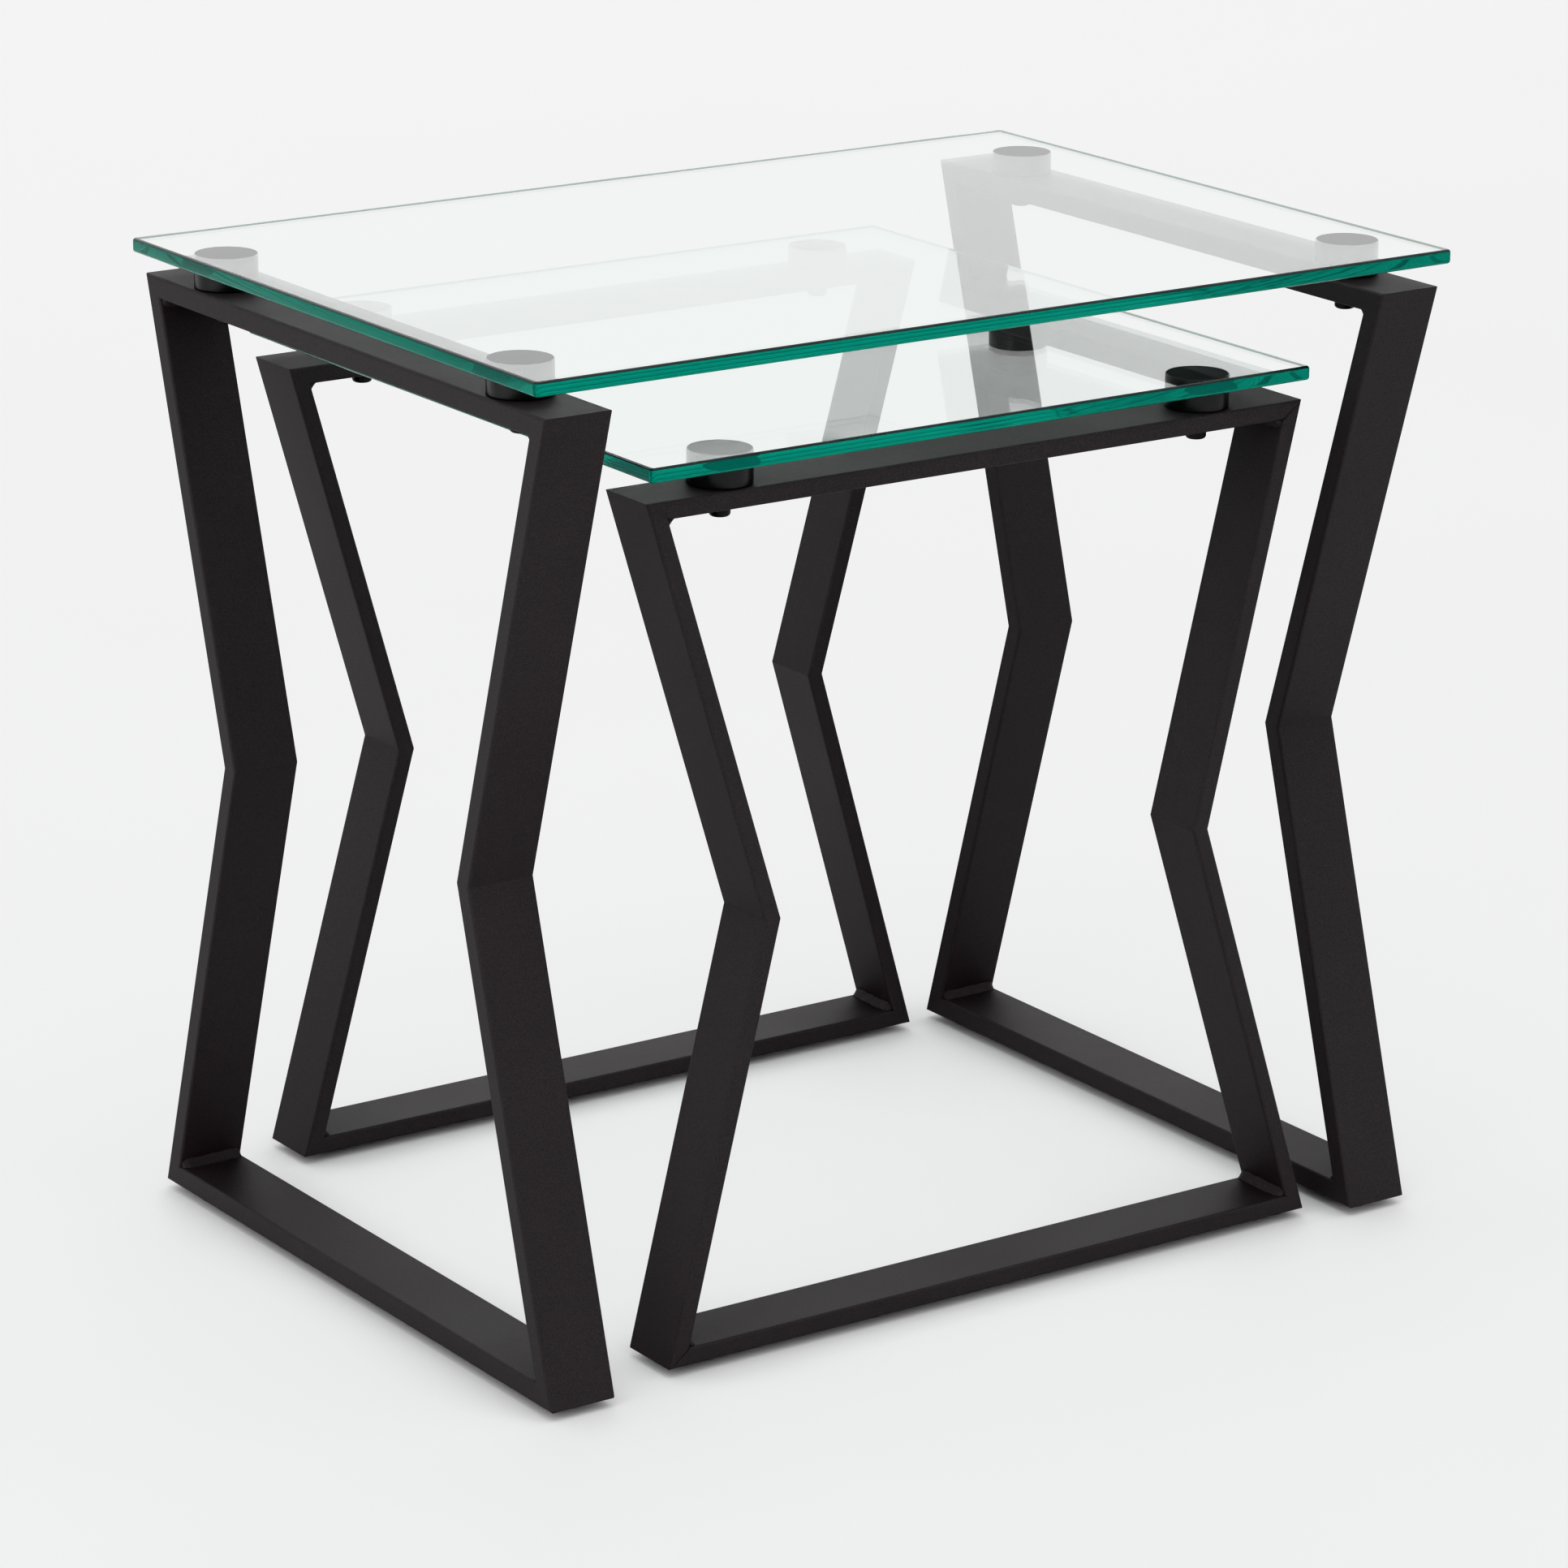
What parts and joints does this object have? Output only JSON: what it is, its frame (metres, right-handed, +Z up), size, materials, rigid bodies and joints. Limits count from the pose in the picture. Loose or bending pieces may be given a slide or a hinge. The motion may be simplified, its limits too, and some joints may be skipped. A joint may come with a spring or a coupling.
{
  "type": "nesting tables",
  "caption": "Pair of nesting side tables: clear glass tops bonded to black discs on hourglass frames of welded steel tube; the smaller table slides out from under the larger.",
  "frame": {"origin": "on the floor, in the middle of the nested set's outline", "axes": "+Z up, -Y the front where the smaller table slides out, +X the user's right"},
  "size_m": [0.59, 0.448, 0.554],
  "materials": {
    "glass": "clear toughened float glass, polished green edges",
    "powder_coated_steel": "fine-textured matte black powder coat",
    "weld_beads": "fillet welds under the same black powder coat",
    "bonding_discs": "satin black",
    "glides": "moulded black plastic",
    "fixings": "black oxide"
  },
  "bodies": {
    "outer_table": {"outer_glass_top": "glass", "outer_left_top_rail": "powder_coated_steel", "outer_left_foot_rail": "powder_coated_steel", "outer_left_front_upper_leg": "powder_coated_steel", "outer_left_front_lower_leg": "powder_coated_steel", "outer_left_back_upper_leg": "powder_coated_steel", "outer_left_back_lower_leg": "powder_coated_steel", "outer_left_welds": "weld_beads", "outer_right_top_rail": "powder_coated_steel", "outer_right_foot_rail": "powder_coated_steel", "outer_right_front_upper_leg": "powder_coated_steel", "outer_right_front_lower_leg": "powder_coated_steel", "outer_right_back_upper_leg": "powder_coated_steel", "outer_right_back_lower_leg": "powder_coated_steel", "outer_right_welds": "weld_beads", "outer_front_left_puck": "bonding_discs", "outer_front_left_glide": "glides", "outer_front_right_puck": "bonding_discs", "outer_front_right_glide": "glides", "outer_back_left_puck": "bonding_discs", "outer_back_left_glide": "glides", "outer_back_right_puck": "bonding_discs", "outer_back_right_glide": "glides", "outer_washers": "fixings", "outer_screws": "fixings"},
    "inner_table": {"inner_glass_top": "glass", "inner_front_top_rail": "powder_coated_steel", "inner_front_foot_rail": "powder_coated_steel", "inner_front_left_upper_leg": "powder_coated_steel", "inner_front_left_lower_leg": "powder_coated_steel", "inner_front_right_upper_leg": "powder_coated_steel", "inner_front_right_lower_leg": "powder_coated_steel", "inner_front_welds": "weld_beads", "inner_back_top_rail": "powder_coated_steel", "inner_back_foot_rail": "powder_coated_steel", "inner_back_left_upper_leg": "powder_coated_steel", "inner_back_left_lower_leg": "powder_coated_steel", "inner_back_right_upper_leg": "powder_coated_steel", "inner_back_right_lower_leg": "powder_coated_steel", "inner_back_welds": "weld_beads", "inner_front_left_puck": "bonding_discs", "inner_front_left_glide": "glides", "inner_front_right_puck": "bonding_discs", "inner_front_right_glide": "glides", "inner_back_left_puck": "bonding_discs", "inner_back_left_glide": "glides", "inner_back_right_puck": "bonding_discs", "inner_back_right_glide": "glides", "inner_washers": "fixings", "inner_screws": "fixings"}
  },
  "joints": [
    {"name": "inner_table_slide", "type": "slide", "parent": "outer_table", "child": "inner_table", "axis": [0, -1, 0], "range_m": [-0.03, 0.45]}
  ]
}
